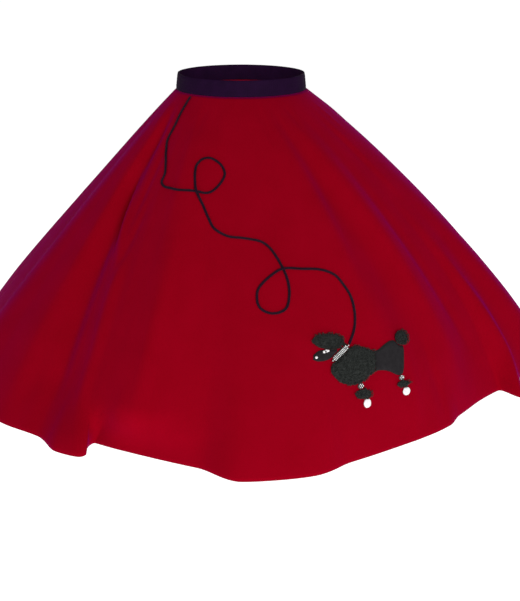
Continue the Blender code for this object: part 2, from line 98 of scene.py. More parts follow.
# Folds, in the order of their azimuths. Each line is a crest or the bottom of a valley.
# waist, middle, hem: its azimuth there, in degrees.
# out: how far it stands out from the bell (+) or lies in (-), in mm; it is 0 at the waist.
# lean: how far it is pushed over towards larger azimuths, in mm; it is 0 at the waist.
# tuck: how much further it stands out (+) or lies in (-) close to the hem, in mm.
# steps: the columns of cloth between this line and the next.
Fold = namedtuple(
    "Fold", "name waist middle hem out_middle out_hem lean_middle lean_hem tuck steps")
FOLDS = (
    Fold("left side seam", -90.0, -90.0, -90.0, -4, -12, 0, 0, 0, 4),
    Fold("left side valley", -80.0, -79.0, -79.0, -8, -20, 0, 0, 0, 6),
    Fold("left soft ridge", -70.0, -65.5, -64.0, 10, 24, 0, 0, 0, 5),
    Fold("left soft valley", -67.0, -60.5, -54.1, 6, 13, 0, 0, 0, 4),
    Fold("crest before the trough", -64.0, -54.5, -47.1, 3, 14, 0, 0, 0, 4),
    Fold("bottom of the trough", -60.0, -48.3, -37.5, -23, -14, 0, 0, 18, 4),
    Fold("top of the trough's wall", -53.0, -43.0, -34.5, -8, -9, 0, 0, 21, 4),
    Fold("top of the roll", -48.0, -38.5, -32.9, -4, -5, 0, 12, 26, 3),
    Fold("edge of the roll", -45.5, -36.2, -30.6, -2, -2, 0, 29, 19, 2),
    Fold("turn of the roll", -43.5, -34.5, -29.5, 0, 0, 0, 24, 9, 2),
    Fold("back of the roll", -41.5, -32.5, -28.6, 3, 2, 0, 10, -4, 3),
    Fold("behind the roll", -38.5, -30.0, -26.6, 6, 5, 0, -10, -22, 3),
    Fold("foot of the roll", -35.5, -27.5, -24.8, 10, 8, 0, -20, -32, 3),
    Fold("edge of the facet", -31.0, -23.3, -20.5, 17, 13, 0, 0, -34, 5),
    Fold("left front valley", -20.0, -11.0, -8.0, 6, -3, 0, 0, 0, 4),
    Fold("front crest", -10.0, -3.5, -1.0, 5, 27, 0, 0, 0, 4),
    Fold("middle valley", 2.0, 4.5, 3.4, 3, 25, 0, 0, 0, 4),
    Fold("second crest", 8.0, 12.0, 10.1, 6, 20, 0, 0, 0, 5),
    Fold("above the poodle", 12.0, 18.0, 17.6, 8, -4, 0, 0, 0, 4),
    Fold("under the poodle", 15.5, 25.0, 28.6, 9, -18, 0, 0, 0, 4),
    Fold("right front valley", 21.0, 34.0, 39.3, -9, -23, 0, 0, 0, 4),
    Fold("right low crest", 30.0, 42.5, 44.0, 1, -34, 0, 0, 0, 4),
    Fold("right hollow", 39.5, 51.5, 50.6, -11, -37, 0, 0, 0, 4),
    Fold("under the right flute", 46.0, 57.5, 56.5, -9, -27, 0, 12, 0, 6),
    Fold("right flute", 51.0, 61.5, 61.3, -2, 11, 0, -28, 0, 5),
    Fold("right crease", 58.0, 65.5, 66.0, 2, -8, 0, 0, 0, 4),
    Fold("right side crest", 74.0, 72.0, 78.0, 14, 32, 0, 0, 0, 5),
    Fold("right side seam", 90.0, 90.0, 90.0, -2, -6, 0, 0, 0, 4),
    Fold("right back valley", 101.0, 101.0, 101.0, -13, -30, 0, -6, 0, 6),
    Fold("right back crest", 117.0, 119.0, 118.0, 12, 26, 7, 12, 0, 6),
    Fold("right hip valley", 131.0, 131.0, 132.0, -12, -22, -5, -8, 0, 6),
    Fold("first back crest", 147.0, 149.0, 148.0, 9, 28, 0, 6, 0, 5),
    Fold("first back crease", 157.0, 158.0, 160.0, -3, -6, 0, 0, 0, 4),
    Fold("low back ridge", 167.0, 167.0, 170.0, 2, 4, 0, 0, 0, 4),
    Fold("middle back valley", 178.0, 179.0, 181.0, -10, -27, 0, 0, 0, 6),
    Fold("second back crest", 195.0, 197.0, 199.0, 10, 29, -6, -12, 0, 6),
    Fold("left hip valley", 211.0, 213.0, 214.0, -13, -25, 5, 9, 0, 6),
    Fold("third back crest", 229.0, 228.0, 229.0, 8, 20, 0, 0, 0, 5),
    Fold("left back crease", 243.0, 240.0, 242.0, -3, 2, 0, 0, 0, 4),
    Fold("left back ridge", 254.0, 253.0, 252.0, 2, 12, 0, 0, 0, 5),
)
LAST_SIDE_SEAM = Fold("left side seam, come round", 270.0, 270.0, 270.0, -4, -12, 0, 0, 0, 0)
FULL_TURN = 360.0
SMALL_TURN = 0.05               # the steps over which the cloth's slopes are measured, in degrees
SMALL_DOWN = 0.001              # and as a part of the skirt's length

# The leash: a flat braid, from the waistband to the collar. Each stop is an azimuth and a
# "down" on the front panel, and how far the braid is lifted there to cross over itself.
LEASH_THICKNESS = 2.0 * MM
CROSSING_LIFT = LEASH_THICKNESS + 0.6 * MM
Stop = namedtuple("Stop", "azimuth down lift", defaults=(0.0,))
LEASH_ROUTE = (
    Stop(-46.5, 0.010),
    Stop(-46.5, 0.060),
    Stop(-45.4, 0.112),
    Stop(-45.2, 0.159),
    Stop(-42.1, 0.194),
    Stop(-38.6, 0.225),
    Stop(-36.0, 0.257),
    Stop(-35.8, 0.283),
    Stop(-33.5, 0.295),
    Stop(-30.0, 0.295),
    Stop(-26.2, 0.294),
    Stop(-22.5, 0.293),
    Stop(-19.6, 0.294),
    Stop(-17.1, 0.298),
    Stop(-15.1, 0.297),
    Stop(-13.3, 0.288),
    Stop(-11.1, 0.266),
    Stop(-10.1, 0.241),
    Stop(-12.1, 0.215),
    Stop(-16.4, 0.197),
    Stop(-20.0, 0.199),
    Stop(-22.0, 0.217),
    Stop(-21.9, 0.239),
    Stop(-20.9, 0.268),
    Stop(-19.5, 0.295, CROSSING_LIFT),
    Stop(-16.3, 0.334),
    Stop(-13.8, 0.370),
    Stop(-11.6, 0.398),
    Stop(-7.5, 0.418),
    Stop(-3.0, 0.423),
    Stop(1.8, 0.432),
    Stop(4.3, 0.449),
    Stop(6.1, 0.477),
    Stop(7.4, 0.508),
    Stop(8.1, 0.538),
    Stop(8.1, 0.569),
    Stop(7.2, 0.604),
    Stop(5.3, 0.618),
    Stop(3.1, 0.618),
    Stop(1.2, 0.605),
    Stop(0.5, 0.583),
    Stop(1.0, 0.554),
    Stop(3.9, 0.525),
    Stop(7.4, 0.508, CROSSING_LIFT),
    Stop(12.3, 0.508),
    Stop(16.8, 0.513),
    Stop(20.0, 0.530),
    Stop(21.5, 0.557),
    Stop(22.5, 0.590),
    Stop(22.5, 0.625),
    Stop(21.9, 0.658),
    Stop(20.9, 0.685),
    Stop(19.4, 0.712),
)

# The poodle, laid out flat in mm: x towards the tail, y up, 0 at the middle of its body
POODLE_AZIMUTH = 20.9
POODLE_DOWN = 0.774
POODLE_TURN = -10.5             # turned clockwise, in degrees, so that it stands upright
PAD_EDGE = 0.35                 # a pad's edge is this part of its thickness
ROUTE_SMOOTHING = 12            # between two stops of the leash


def lerp(start, end, part):
    """The value at a part of the way from the start to the end."""
    return start + (end - start) * part


def eased(part):
    """0 to 1, with a soft start and a soft end."""
    part = min(max(part, 0.0), 1.0)
    return part * part * (3 - 2 * part)


def along(down, waist, middle, hem):
    """A size that runs in a smooth curve through its values at the waist, the middle and the hem."""
    return (waist * (1 - down) * (1 - 2 * down) + middle * 4 * down * (1 - down)
            + hem * down * (2 * down - 1))


def bell_angle(down):
    """The cloth's angle from the vertical at a height, without its folds."""
    step = min(down, 1.0) * (len(BELL_ANGLES) - 1)
    i = min(int(step), len(BELL_ANGLES) - 2)
    return math.radians(lerp(BELL_ANGLES[i], BELL_ANGLES[i + 1], step - i))


@lru_cache(maxsize=None)
def bell(down):
    """How far the cloth has come outwards, and how far it has dropped, without its folds."""
    piece = SKIRT_LENGTH * down / BELL_STEPS
    angles = [bell_angle(down * (i + 0.5) / BELL_STEPS) for i in range(BELL_STEPS)]
    return sum(map(math.sin, angles)) * piece, sum(map(math.cos, angles)) * piece


def fold_azimuth(fold, down):
    """Where a fold line lies at a height, in degrees."""
    return along(down, fold.waist, fold.middle, fold.hem)


@lru_cache(maxsize=None)
def ring_lines(down):
    """The fold lines right round at one height, as lists of azimuths, outs and leans."""
    lines = FOLDS + (LAST_SIDE_SEAM,)
    azimuths = [fold_azimuth(fold, down) for fold in lines]
    depth = eased(down / FOLDS_FORMED) * MM
    over = eased((down - LEANS_START) / (LEANS_FORMED - LEANS_START)) * MM
    outs = [along(down, 0.0, fold.out_middle, fold.out_hem) * depth + fold.tuck * over
            for fold in lines]
    leans = [along(down, 0.0, fold.lean_middle, fold.lean_hem) * over for fold in lines]
    return azimuths, outs, leans


def smooth_slope(x, y, i):
    """The slope of a curve that has its tops and bottoms at the given points, and only there."""
    count = len(x) - 1                    # the last point is the first one again, a turn later
    before = (y[i % count] - y[(i - 1) % count]) / ((x[i % count] - x[(i - 1) % count]) % FULL_TURN)
    after = (y[(i + 1) % count] - y[i % count]) / ((x[(i + 1) % count] - x[i % count]) % FULL_TURN)
    if before * after <= 0:
        return 0.0
    return 2 * before * after / (before + after)


def smooth_value(x, y, azimuth):
    """The height at an azimuth of the curve through the fold lines of one ring."""
    i = min(max(bisect_right(x, azimuth) - 1, 0), len(x) - 2)
    width = x[i + 1] - x[i]
    part = (azimuth - x[i]) / width
    start = smooth_slope(x, y, i) * width
    end = smooth_slope(x, y, i + 1) * width
    return ((2 * part ** 3 - 3 * part ** 2 + 1) * y[i] + (part ** 3 - 2 * part ** 2 + part) * start
            + (3 * part ** 2 - 2 * part ** 3) * y[i + 1] + (part ** 3 - part ** 2) * end)


def skirt_point(azimuth, down):
    """A point on the outer face of the skirt."""
    azimuths, outs, leans = ring_lines(down)
    out = smooth_value(azimuths, outs, azimuth)
    lean = smooth_value(azimuths, leans, azimuth)
    reach, drop = bell(down)
    turn = math.radians(azimuth)
    return Vector((
        (WAIST_HALF_WIDTH + reach + out) * math.sin(turn) + lean * math.cos(turn)
        + along(down, 0.0, SIDE_DRIFT, HEM_DRIFT),
        -(WAIST_HALF_DEPTH + reach + out) * math.cos(turn) + lean * math.sin(turn),
        -BAND_HEIGHT / 2 - SEAM_GAP - drop))


def skirt_normal(azimuth, down):
    """The direction straight out of the cloth."""
    low = min(max(down, SMALL_DOWN), 1 - SMALL_DOWN)
    around = skirt_point(azimuth + SMALL_TURN, low) - skirt_point(azimuth - SMALL_TURN, low)
    downwards = skirt_point(azimuth, low + SMALL_DOWN) - skirt_point(azimuth, low - SMALL_DOWN)
    return downwards.cross(around).normalized()


def seam_shift(down):
    """Half the gap at a side seam, as an angle."""
    return math.degrees(SEAM_GAP / 2 / (WAIST_HALF_DEPTH + bell(down)[0]))


def curve_through(points, steps):
    """Points along a smooth curve through the given ones, which are tuples of numbers."""
    ends = (points[0],) + tuple(points) + (points[-1],)
    curve = []
    for i in range(1, len(ends) - 2):
        before, start, end, after = ends[i - 1:i + 3]
        for step in range(steps):
            part = step / steps
            curve.append(tuple(
                0.5 * (2 * b + (c - a) * part + (2 * a - 5 * b + 4 * c - d) * part ** 2
                       + (3 * b - a - 3 * c + d) * part ** 3)
                for a, b, c, d in zip(before, start, end, after)))
    return curve + [tuple(points[-1])]


# A long pad's section: its place along the pad, and its lower and upper edge.
Section = namedtuple("Section", "at low high")
# An oval pad: its middle, its half width and half height, and how far it is turned.
Oval = namedtuple("Oval", "x y half_width half_height turn")


MANE = (
    Section(-44.5, -6.0, 1.5),
    Section(-40.0, -12.5, 6.2),
    Section(-34.0, -18.6, 10.0),
    Section(-28.0, -22.2, 14.8),
    Section(-22.0, -24.6, 21.0),
    Section(-17.0, -25.6, 27.2),
    Section(-9.0, -25.6, 30.0),
    Section(0.0, -22.9, 29.6),
    Section(8.0, -18.0, 27.4),
    Section(15.0, -11.5, 25.0),
    Section(22.0, -6.6, 22.8),
)
HIPS = (
    Section(22.6, -6.5, 22.8),
    Section(30.0, -6.2, 25.8),
    Section(38.0, -6.8, 31.5),
    Section(46.0, -9.2, 35.8),
    Section(53.0, -13.0, 37.4),
    Section(59.5, -15.6, 36.3),
    Section(64.5, -15.5, 31.0),
    Section(69.0, -12.0, 28.0),
    Section(73.0, 6.0, 26.8),
    Section(76.5, 22.0, 26.0),
)
HEAD = (
    Section(-70.0, 9.6, 16.0),
    Section(-64.5, 8.2, 21.8),
    Section(-58.0, 8.4, 24.4),
    Section(-51.0, 10.2, 24.9),
    Section(-45.5, 13.0, 25.1),
    Section(-40.0, 18.2, 25.6),
    Section(-35.5, 23.0, 25.9),
)
LONG_PADS = (
    ("poodle_mane", MANE, 3.0, "poodle"),
    ("poodle_hips", HIPS, 2.0, "poodle"),
    ("poodle_head", HEAD, 2.0, "poodle"),
)
OVAL_PADS = (
    ("poodle_topknot", Oval(-48.7, 36.9, 23.8, 11.0, 1.0), 3.0, "poodle"),
    ("poodle_collar", Oval(-31.0, 19.9, 16.3, 4.2, 42.5), 2.4, "silver"),
    ("poodle_tail", Oval(76.0, 38.0, 14.5, 10.8, -4.0), 3.0, "poodle"),
    ("poodle_anklet_front", Oval(0.0, -28.1, 4.4, 4.4, 0.0), 1.6, "silver"),
    ("poodle_anklet_hind", Oval(64.5, -20.2, 4.4, 3.9, 0.0), 1.6, "silver"),
    ("poodle_cuff_front", Oval(4.0, -39.9, 11.8, 6.9, 0.0), 3.0, "poodle"),
    ("poodle_cuff_hind", Oval(67.0, -29.7, 11.0, 4.8, 0.0), 3.0, "poodle"),
    ("poodle_paw_front", Oval(10.6, -53.2, 5.3, 6.7, 0.0), 1.6, "paw"),
    ("poodle_paw_hind", Oval(72.3, -41.2, 6.4, 6.2, 0.0), 1.6, "paw"),
)


# Small creases and drag lines in the cloth, on top of its folds: from one azimuth and "down"
# to another, how wide the crease is and how high it stands, in mm. Troughs are negative. A
# crease that ends past 1 runs out over the hem.
Crease = namedtuple("Crease", "azimuth down azimuth_end down_end width height")
CREASES = (
    # The left side, and the wall of the trough
    Crease(-84, 0.03, -80, 0.21, 5, -0.9),
    Crease(-76, 0.40, -72, 0.93, 13, -1.9),
    Crease(-67, 0.02, -63, 0.15, 5, 0.8),
    Crease(-57, 0.03, -52, 0.26, 6, -1.0),
    Crease(-58, 0.28, -40, 1.00, 12, 1.8),
    Crease(-60, 0.22, -40.5, 0.58, 8, -3.6),
    Crease(-56, 0.22, -36.5, 0.58, 8, 2.8),
    Crease(-44.5, 0.10, -41, 0.47, 6, -1.6),
    Crease(-43.9, 0.46, -37.1, 0.82, 12, -1.6),
    Crease(-39, 0.46, -32.2, 0.82, 12.5, 4.4),
    Crease(-38.9, 0.66, -33.7, 1.12, 12, -1.4),
    Crease(-34.4, 0.66, -29.4, 1.12, 12.5, 4.2),
    Crease(-48, 0.52, -38.4, 1.10, 14, 3.0),
    # The roll's foot and the facet
    Crease(-23, 0.78, -21.6, 1.15, 16, 4.2),
    Crease(-38, 0.31, -38, 0.63, 7, -1.5),
    Crease(-28, 0.02, -27, 0.14, 5, -0.8),
    Crease(-22.8, 0.25, -18.6, 1.15, 9, 3.2),
    # The middle of the front
    Crease(-16, 0.26, -10, 0.80, 9, -1.2),
    Crease(-15, 0.03, -12, 0.19, 5, 0.8),
    Crease(-5, 0.02, -4, 0.11, 4, -0.7),
    Crease(-9.5, 0.66, -7.5, 1.10, 12, -1.6),
    Crease(5, 0.24, 5, 0.49, 9, -1.0),
    Crease(12, 0.02, 13, 0.17, 5, -0.9),
    Crease(13.5, 0.72, 16.5, 1.10, 10, -1.6),
    # The poodle's side, and the right flute
    Crease(25, 0.03, 27, 0.23, 6, 1.0),
    Crease(27.5, 0.12, 28.5, 0.66, 14, -2.6),
    Crease(33, 0.02, 34, 0.13, 5, -0.9),
    Crease(34, 0.74, 30, 1.05, 9, 1.8),
    Crease(39, 0.68, 38.5, 1.05, 8, -1.8),
    Crease(38, 0.18, 46, 0.86, 12, 2.0),
    Crease(45.5, 0.18, 55.5, 0.97, 11, -2.4),
    Crease(64, 0.52, 67, 0.96, 12, -1.7),
    Crease(66, 0.02, 67, 0.16, 5, 0.9),
    Crease(80, 0.36, 84, 0.88, 13, -1.8),
    Crease(83, 0.03, 85, 0.20, 5, -0.8),
    # The back
    Crease(97, 0.03, 99, 0.22, 6, 0.9),
    Crease(108, 0.46, 110, 0.95, 12, 1.6),
    Crease(114, 0.02, 117, 0.14, 5, -0.9),
    Crease(125, 0.30, 124, 0.78, 11, -1.5),
    Crease(139, 0.03, 141, 0.25, 6, -1.0),
    Crease(140, 0.58, 141, 0.97, 11, 1.5),
    Crease(153, 0.02, 154, 0.15, 5, 0.8),
    Crease(163, 0.50, 165, 0.92, 10, -1.6),
    Crease(173, 0.03, 173, 0.19, 5, -0.9),
    Crease(187, 0.42, 189, 0.86, 12, 1.7),
    Crease(191, 0.02, 193, 0.13, 5, 0.8),
    Crease(205, 0.03, 206, 0.24, 6, -1.0),
    Crease(206, 0.55, 208, 0.96, 11, -1.6),
    Crease(221, 0.34, 221, 0.82, 12, 1.4),
    Crease(224, 0.02, 226, 0.16, 5, -0.8),
    Crease(236, 0.50, 236, 0.94, 11, -1.5),
    Crease(247, 0.03, 248, 0.21, 6, 0.9),
    Crease(262, 0.44, 261, 0.90, 12, -1.6),
)
CREASE_REACH = 3.0              # a crease is felt this many widths to each side
CREASE_FADE = 2.6               # each end fades in over the length divided by this
PUCKER_HEIGHT = 0.35 * MM       # where the elastic draws the cloth in
PUCKER_START = 5 * MM           # from the seam to where the puckers have their full height
PUCKER_REACH = 16 * MM          # they die away below it over this length
PUCKERS_A_DEGREE = 0.42
PUCKERS_DOWN = 3.0              # how often they change from the waist to the hem


def crease_height(azimuth, down):
    """How far the small creases lift the cloth at a place."""
    ring_radius = WAIST_HALF_DEPTH + bell(down)[0]
    height = 0.0
    for crease in CREASES:
        part = (down - crease.down) / (crease.down_end - crease.down)
        if not 0.0 < part < 1.0:
            continue
        middle = lerp(crease.azimuth, crease.azimuth_end, part)
        aside = math.radians(azimuth - middle) * ring_radius / (crease.width * MM)
        if abs(aside) < CREASE_REACH:
            fade = eased(part * CREASE_FADE) * eased((1.0 - part) * CREASE_FADE)
            height += crease.height * MM * fade * math.exp(-aside * aside)
    wave = noise.noise(Vector((azimuth * PUCKERS_A_DEGREE, down * PUCKERS_DOWN, 0.0)))
    below = down * SKIRT_LENGTH
    return height + (PUCKER_HEIGHT * wave * eased(below / PUCKER_START)
                     * math.exp(-below / PUCKER_REACH))


def cloth_place(azimuth, down, out=0.0):
    """A point at a distance out from the cloth's face, and the direction out of the cloth."""
    normal = skirt_normal(azimuth, down)
    height = crease_height(azimuth, min(max(down, 0.0), 1.0)) + out
    return skirt_point(azimuth, down) + normal * height, normal


SAME_PLACE = 0.01 * MM          # points this close are one


def make_piece(name, bm, material, slot_name, replaced=()):
    """A finished mesh as a piece of the skirt."""
    bm.normal_update()
    mesh = bpy.data.meshes.new(name)
    bm.to_mesh(mesh)
    bm.free()
    mesh.shade_smooth()
    mesh.materials.append(material)
    piece = bpy.data.objects.new(name, mesh)
    bpy.context.scene.collection.objects.link(piece)
    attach(piece, BODY)
    if replaced:
        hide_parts(*replaced)
    return piece


def laid_grid(columns, rows, place, flat_size=(1.0, 1.0), closed=False):
    """A grid whose points are put in their places, with its flat layout as its UV map.
    Across and up both run from 0 to 1. A closed grid is a ring, whose ends are joined."""
    bm = bmesh.new()
    bmesh.ops.create_grid(bm, x_segments=columns, y_segments=rows, size=0.5)
    flat = bm.loops.layers.uv.new("flat")
    for face in bm.faces:
        for loop in face.loops:
            loop[flat].uv = ((loop.vert.co.x + 0.5) * flat_size[0],
                             (loop.vert.co.y + 0.5) * flat_size[1])
    for vert in bm.verts:
        vert.co = place(vert.co.x + 0.5, vert.co.y + 0.5)
    if closed:
        bmesh.ops.remove_doubles(bm, verts=bm.verts, dist=SAME_PLACE)
    return bm


def mesh_of(curve):
    """A curve's tubes as a mesh."""
    holder = bpy.data.objects.new(curve.name, curve)
    bm = bmesh.new()
    bm.from_mesh(holder.to_mesh())
    bpy.data.objects.remove(holder, do_unlink=True)
    return bm


def thicken(piece, thickness):
    """Give a sheet its thickness, inwards from its outer face."""
    wall = piece.modifiers.new("thickness", "SOLIDIFY")
    wall.thickness = thickness
    wall.offset = -1.0


# The panels. Each is half of a three-quarter circle: its two radii, and its angle in degrees.
PANEL_COLUMNS = 250
PANEL_ROWS = 110


def panel_azimuth(first_line, last_line, across, down):
    """The azimuth at a part of the way across a panel. Folds get more of the cloth's columns."""
    lines = ring_lines(down)[0]
    steps = [FOLDS[line].steps for line in range(first_line, last_line)]
    position = across * sum(steps)
    line = first_line
    while position > FOLDS[line].steps and line < last_line - 1:
        position -= FOLDS[line].steps
        line += 1
    azimuth = lerp(lines[line], lines[line + 1], min(position / FOLDS[line].steps, 1.0))
    return azimuth + seam_shift(down) * (1 - 2 * across)


def sew_panel(name, node, first_line, last_line, material):
    """A panel from one side seam to the other, creased and given the felt's thickness."""
    def place(across, up):
        down = 1.0 - up
        return cloth_place(panel_azimuth(first_line, last_line, across, down), down)[0]

    bm = laid_grid(PANEL_COLUMNS, PANEL_ROWS, place)
    piece = make_piece(name, bm, material, "felt", (node,))
    thicken(piece, FELT)


BAND_COLUMNS = 360
BAND_ROWS = 20
BAND_CUT_LENGTH = 0.585
BAND_CHANNELS = 5
BAND_CHANNEL_DEPTH = 0.22 * MM
BAND_LIP = 0.10                 # the rolled lip at each edge, as a part of the band's height
BAND_LIP_DEPTH = 0.5 * MM
GATHER_DEPTH = 0.25 * MM        # the band's own small waves
GATHERS = 9


def sew_band(material):
    """The elastic: woven channels round it, a rolled lip at both edges, drawn in at the top."""
    def place(across, up):
        turn = math.tau * across
        lip = min(up, 1 - up) / BAND_LIP
        rolled = BAND_LIP_DEPTH * (1 - eased(lip))
        channel = BAND_CHANNEL_DEPTH * (0.5 - 0.5 * math.cos(math.tau * BAND_CHANNELS * up))
        wave = Vector((math.sin(turn) * GATHERS, math.cos(turn) * GATHERS, up))
        gather = GATHER_DEPTH * noise.noise(wave)
        outwards = BAND_OVERHANG - BAND_DRAWN_IN * up - rolled - channel + gather
        return Vector(((WAIST_HALF_WIDTH + outwards) * math.sin(turn),
                       -(WAIST_HALF_DEPTH + outwards) * math.cos(turn),
                       BAND_HEIGHT * (up - 0.5)))

    bm = laid_grid(BAND_COLUMNS, BAND_ROWS, place, (BAND_CUT_LENGTH, BAND_HEIGHT), closed=True)
    piece = make_piece("elastic_band", bm, material, "band", ("waistband",))
    thicken(piece, BAND_THICKNESS)


# The leash is a flat braid: each strand weaves from side to side, over and under the others.
STRANDS = 3
STRAND_RADIUS = 0.75 * MM
BRAID_HALF_WIDTH = 1.35 * MM
BRAID_HALF_HEIGHT = 0.35 * MM
BRAID_PITCH = 9 * MM
BRAID_STEP = 0.9 * MM


def even_route(spacing):
    """The leash's stops at even distances along it, each a place and the way out of the cloth."""
    stops = curve_through(LEASH_ROUTE, ROUTE_SMOOTHING)
    places = [cloth_place(azimuth, down)[0] for azimuth, down, _lift in stops]
    lengths = [0.0]
    for here, there in zip(places, places[1:]):
        lengths.append(lengths[-1] + (there - here).length)
    count = round(lengths[-1] / spacing)
    route = []
    for i in range(count + 1):
        wanted = lengths[-1] * i / count
        j = min(max(bisect_right(lengths, wanted) - 1, 0), len(stops) - 2)
        part = (wanted - lengths[j]) / (lengths[j + 1] - lengths[j])
        azimuth, down, lift = (lerp(a, b, part) for a, b in zip(stops[j], stops[j + 1]))
        height = SEWN_ON_GAP + LEASH_THICKNESS / 2 + max(lift, 0.0)
        route.append((wanted,) + cloth_place(azimuth, down, height))
    return route


def braid_leash(material):
    """The leash's strands along its route, sewn to the front."""
    route = even_route(BRAID_STEP)
    curve = bpy.data.curves.new("leash_braid", "CURVE")
    curve.dimensions = "3D"
    curve.bevel_depth = STRAND_RADIUS
    curve.bevel_resolution = 1
    curve.use_fill_caps = True
    for strand in range(STRANDS):
        spline = curve.splines.new("POLY")
        spline.points.add(len(route) - 1)
        for i, (length, middle, normal) in enumerate(route):
            ahead = route[min(i + 1, len(route) - 1)][1] - route[max(i - 1, 0)][1]
            side = ahead.cross(normal).normalized()
            turn = math.tau * (length / BRAID_PITCH + strand / STRANDS)
            point = (middle + side * BRAID_HALF_WIDTH * math.sin(turn)
                     + normal * BRAID_HALF_HEIGHT * math.sin(2 * turn))
            spline.points[i].co = (*point, 1.0)
    make_piece("leash_braid", mesh_of(curve), material, "leash", ("leash",))


def on_poodle(x, y, out):
    """A point of the poodle's flat layout, in mm, laid on the cloth."""
    turn = math.radians(POODLE_TURN)
    across = x * math.cos(turn) - y * math.sin(turn)
    upwards = x * math.sin(turn) + y * math.cos(turn)
    ring_radius = WAIST_HALF_DEPTH + bell(POODLE_DOWN)[0]
    azimuth = POODLE_AZIMUTH + math.degrees(across * MM / ring_radius)
    return cloth_place(azimuth, POODLE_DOWN - upwards * MM / SKIRT_LENGTH, out)[0]


# The pile swells in curls, and loops of yarn stand on it. Sizes are in mm but for those with MM.
CURL_SIZE = 3.3                 # from one swelling of the pile to the next
CURL_SPREAD = 0.62              # how wide a swelling is, as a part of that
CURL_HEIGHT = 0.95 * MM
CURL_AT_EDGE = 0.3              # a swelling's height at the pad's edge, as a part of the full one
RAGGED_EDGE = 0.7               # how far the pile's outline strays
RAGS_A_MM = 0.6
RAG_SLICES = (3.0, 8.0)         # the slices of the noise that move it aside and upwards
CURL_SLICE = 0.5
LOOP_GAP = 2.6                  # from one loop of yarn to the next
LOOP_SCATTER = 0.35             # how far a loop is out of line, as a part of the gap
LOOP_RADIUS = 1.45
LOOP_SIZES = (0.7, 1.25)        # the smallest and the largest loop, as parts of that radius
LOOP_LEANS = (0.35, 1.15)       # how far a loop stands up from lying flat, in radians
LOOP_RISE = (0.2, 0.9)          # how high a loop's middle stands over the pad
LOOP_POINTS = 8
LOOP_TURNS = 1.2
LOOP_OVERHANG = 1.1             # how far outside the pad's outline the outer loops stand
YARN_RADIUS = 0.42 * MM
PAD_GRID = 0.75                 # the spacing of a pad's points
FEWEST_CELLS = 8                # across an oval pad
PAD_SMOOTHING = 8               # steps between two sections of a long pad
ROUNDED_ENDS = 2.5              # how much of a long pad slopes down at its ends
ROUNDED_SIDES = 4.0             # and at its sides
BACKING = 0.6 * MM
CURLY = ("poodle_mane", "poodle_topknot", "poodle_tail", "poodle_cuff_front", "poodle_cuff_hind")


def pad_top(x, y, rim, thickness, curly):
    """The top of a pad at a flat place. The rim runs from 0 at its edge to 1."""
    height = thickness * (PAD_EDGE + (1 - PAD_EDGE) * rim)
    if curly:
        nearest = noise.voronoi(Vector((x / CURL_SIZE, y / CURL_SIZE, CURL_SLICE)))[0][0]
        swelling = max(0.0, 1 - (nearest / CURL_SPREAD) ** 2)
        height += CURL_HEIGHT * lerp(CURL_AT_EDGE, 1.0, rim) * swelling
        stray = RAGGED_EDGE * (1 - rim)
        x += stray * noise.noise(Vector((x * RAGS_A_MM, y * RAGS_A_MM, RAG_SLICES[0])))
        y += stray * noise.noise(Vector((x * RAGS_A_MM, y * RAGS_A_MM, RAG_SLICES[1])))
    return on_poodle(x, y, SEWN_ON_GAP + height)


def loop_of_yarn(x, y, height, dice):
    """One curl of the pile, as flat x, y places in mm with heights, leaning its own way."""
    facing = dice.uniform(0.0, math.tau)
    lean = dice.uniform(*LOOP_LEANS)
    radius = LOOP_RADIUS * dice.uniform(*LOOP_SIZES)
    for i in range(LOOP_POINTS):
        turn = math.tau * LOOP_TURNS * i / (LOOP_POINTS - 1)
        along_it = radius * math.cos(turn)
        across_it = radius * math.sin(turn)
        yield (x + along_it * math.cos(facing) - across_it * math.cos(lean) * math.sin(facing),
               y + along_it * math.sin(facing) + across_it * math.cos(lean) * math.cos(facing),
               height + across_it * math.sin(lean))


def scattered(bounds, is_inside, dice):
    """Places in rows over a pad, each a little out of line."""
    left, bottom, right, top = bounds
    for column in range(math.ceil((right - left) / LOOP_GAP) + 1):
        for row in range(math.ceil((top - bottom) / LOOP_GAP) + 1):
            aside = dice.uniform(-LOOP_SCATTER, LOOP_SCATTER)
            above = dice.uniform(-LOOP_SCATTER, LOOP_SCATTER)
            x = left + (column + 0.5 * (row % 2) + aside) * LOOP_GAP
            y = bottom + (row + above) * LOOP_GAP
            if is_inside(x, y):
                yield x, y


def loop_yarn(name, places, thickness, dice, material):
    """Loops of yarn at places on the poodle, as curls of its pile."""
    curve = bpy.data.curves.new(name, "CURVE")
    curve.dimensions = "3D"
    curve.bevel_depth = YARN_RADIUS
    curve.bevel_resolution = 0
    for x, y in places:
        spline = curve.splines.new("POLY")
        spline.points.add(LOOP_POINTS - 1)
        middle = thickness + dice.uniform(*LOOP_RISE)
        for i, (px, py, height) in enumerate(loop_of_yarn(x, y, middle, dice)):
            spline.points[i].co = (*on_poodle(px, py, SEWN_ON_GAP + height * MM), 1.0)
    make_piece(name, mesh_of(curve), material, "poodle")


def curl_pad(node, bounds, is_inside, thickness, material):
    """Curls all over a pad and a little way past its outline."""
    dice = random.Random(node)
    loop_yarn(node + "_curls", list(scattered(bounds, is_inside, dice)), thickness, dice, material)


# Rows of curls that fill the seams at the neck: flat x, y in mm at both ends
NECK_ROWS = ((-46.0, 25.4, -29.5, 28.6), (-38.5, 6.5, -19.0, 27.4), (-26.5, 31.5, -21.5, 32.5))
NECK_GAP = 1.7
NECK_PILE = 1.2                 # how thick the pile is under them


